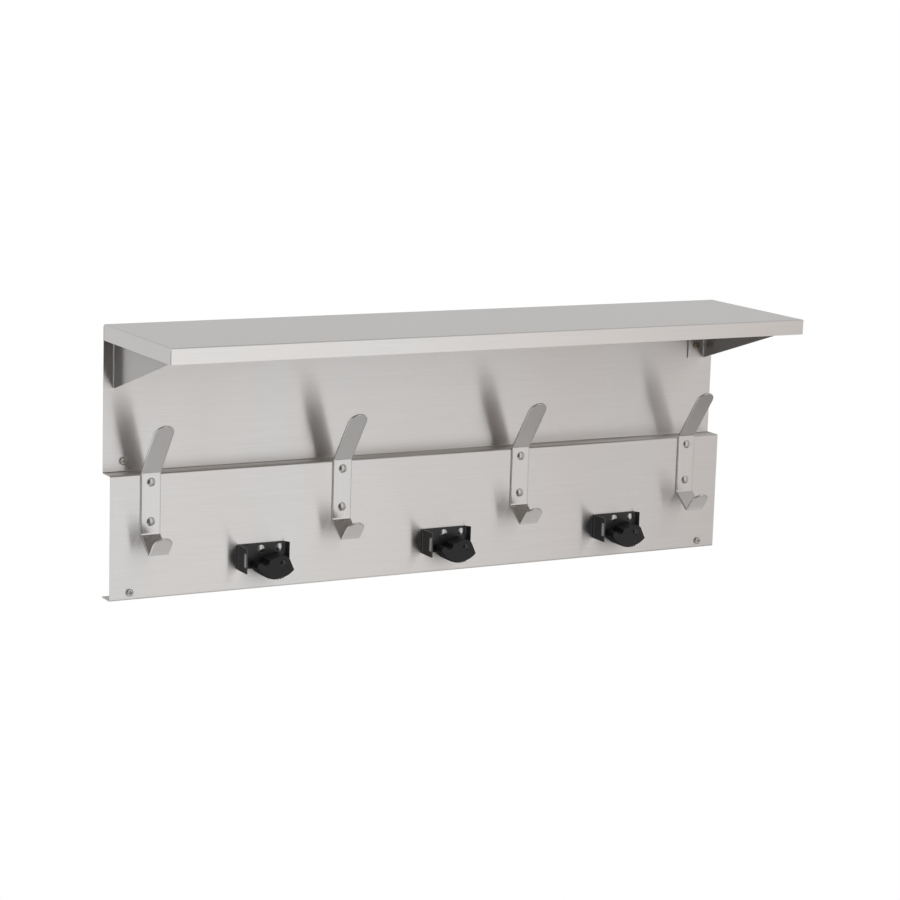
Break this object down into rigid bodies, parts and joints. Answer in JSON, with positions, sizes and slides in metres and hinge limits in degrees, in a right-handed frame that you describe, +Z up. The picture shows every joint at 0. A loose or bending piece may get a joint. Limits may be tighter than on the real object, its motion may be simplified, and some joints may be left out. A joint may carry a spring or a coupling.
{
  "type": "utility shelf with hooks",
  "caption": "Wall-hung stainless steel utility shelf on gusset brackets, its stepped back panel carrying bent-strip coat hooks and sprung rubber-cam holders for broom and mop handles.",
  "frame": {"origin": "on the wall plane, at the centre of the four upper wall screws", "axes": "+Z up, +Y into the wall along the screws, +X along the shelf to the right as seen from the front, so the front faces -Y"},
  "size_m": [0.8636, 0.2312, 0.3302],
  "materials": {
    "stainless_sheet": "satin, brushed along the width",
    "stainless_strip": "satin",
    "stainless_rivet": "satin",
    "wall_screw": "plain",
    "black_plate": "semi-gloss black",
    "bright_rivet": "bright",
    "cam_rubber": "matt",
    "black_pin": "matt black",
    "spacer": "matt",
    "spring_wire": "plain"
  },
  "bodies": {
    "unit": {"shelf": "stainless_sheet", "back_panel": "stainless_sheet", "bracket_left": "stainless_sheet", "bracket_right": "stainless_sheet", "bracket_screws": "wall_screw", "panel_screws": "wall_screw", "foot_screws": "wall_screw", "hook_1": "stainless_strip", "hook_rivets_1": "stainless_rivet", "hook_2": "stainless_strip", "hook_rivets_2": "stainless_rivet", "hook_3": "stainless_strip", "hook_rivets_3": "stainless_rivet", "hook_4": "stainless_strip", "hook_rivets_4": "stainless_rivet", "holder_plate_1": "black_plate", "holder_rivets_1": "bright_rivet", "cam_pin_1": "black_pin", "cam_spacer_1": "spacer", "cam_spring_1": "spring_wire", "holder_plate_2": "black_plate", "holder_rivets_2": "bright_rivet", "cam_pin_2": "black_pin", "cam_spacer_2": "spacer", "cam_spring_2": "spring_wire", "holder_plate_3": "black_plate", "holder_rivets_3": "bright_rivet", "cam_pin_3": "black_pin", "cam_spacer_3": "spacer", "cam_spring_3": "spring_wire"},
    "cam_left": {"cam_1": "cam_rubber"},
    "cam_middle": {"cam_2": "cam_rubber"},
    "cam_right": {"cam_3": "cam_rubber"}
  },
  "joints": [
    {"name": "cam_left_swing", "type": "hinge", "parent": "unit", "child": "cam_left", "pos_m": [-0.2152, -0.0393, -0.1827], "axis": [0, 1, 0], "range_deg": [0, 80], "stiffness_Nm_per_rad": 0.15, "springref_deg": -20.05, "deforming": ["cam_spring_1"]},
    {"name": "cam_middle_swing", "type": "hinge", "parent": "unit", "child": "cam_middle", "pos_m": [0.0388, -0.0393, -0.1827], "axis": [0, 1, 0], "range_deg": [0, 80], "stiffness_Nm_per_rad": 0.15, "springref_deg": -20.05, "deforming": ["cam_spring_2"]},
    {"name": "cam_right_swing", "type": "hinge", "parent": "unit", "child": "cam_right", "pos_m": [0.2928, -0.0393, -0.1827], "axis": [0, 1, 0], "range_deg": [0, 80], "stiffness_Nm_per_rad": 0.15, "springref_deg": -20.05, "deforming": ["cam_spring_3"]}
  ]
}
